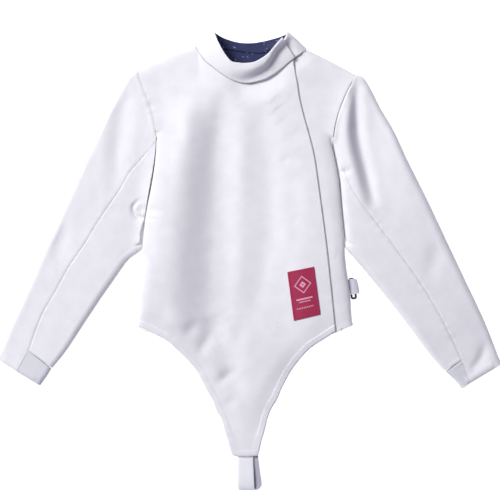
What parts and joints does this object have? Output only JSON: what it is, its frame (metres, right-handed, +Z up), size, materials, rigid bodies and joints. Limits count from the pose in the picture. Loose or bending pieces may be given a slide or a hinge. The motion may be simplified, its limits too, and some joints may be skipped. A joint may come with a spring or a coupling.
{
  "type": "fencing jacket",
  "caption": "White fencing jacket laid flat: high collar, side overlap flap, pointed lower front with a crotch strap, inset elastic cuffs, red patch, navy collar lining.",
  "frame": {"origin": "centre of the overall bounding box, on the surface that the jacket lies on", "axes": "+X towards the wearer's left sleeve, +Y towards the collar, +Z up out of the front"},
  "size_m": [0.935, 0.85, 0.045],
  "materials": {
    "jacket_cloth": "thick soft white twill with a slight nap, matt",
    "elastic": "white woven elastic and webbing, matt",
    "lining": "navy woven lining with a sparse pale blue print, slight sheen",
    "patch": "red woven patch with a stitched border",
    "slider": "black moulded plastic, satin"
  },
  "bodies": {
    "root": {"front_right": "jacket_cloth", "front_left": "jacket_cloth", "back": "jacket_cloth", "sleeve_upper_right": "jacket_cloth", "sleeve_upper_left": "jacket_cloth", "sleeve_under_right": "jacket_cloth", "sleeve_under_left": "jacket_cloth", "cuff_inset_right": "elastic", "cuff_inset_left": "elastic", "collar": "jacket_cloth", "collar_lining": "lining", "crotch_strap": "elastic", "side_strap": "elastic", "side_slider": "slider", "patch": "patch"}
  },
  "joints": []
}
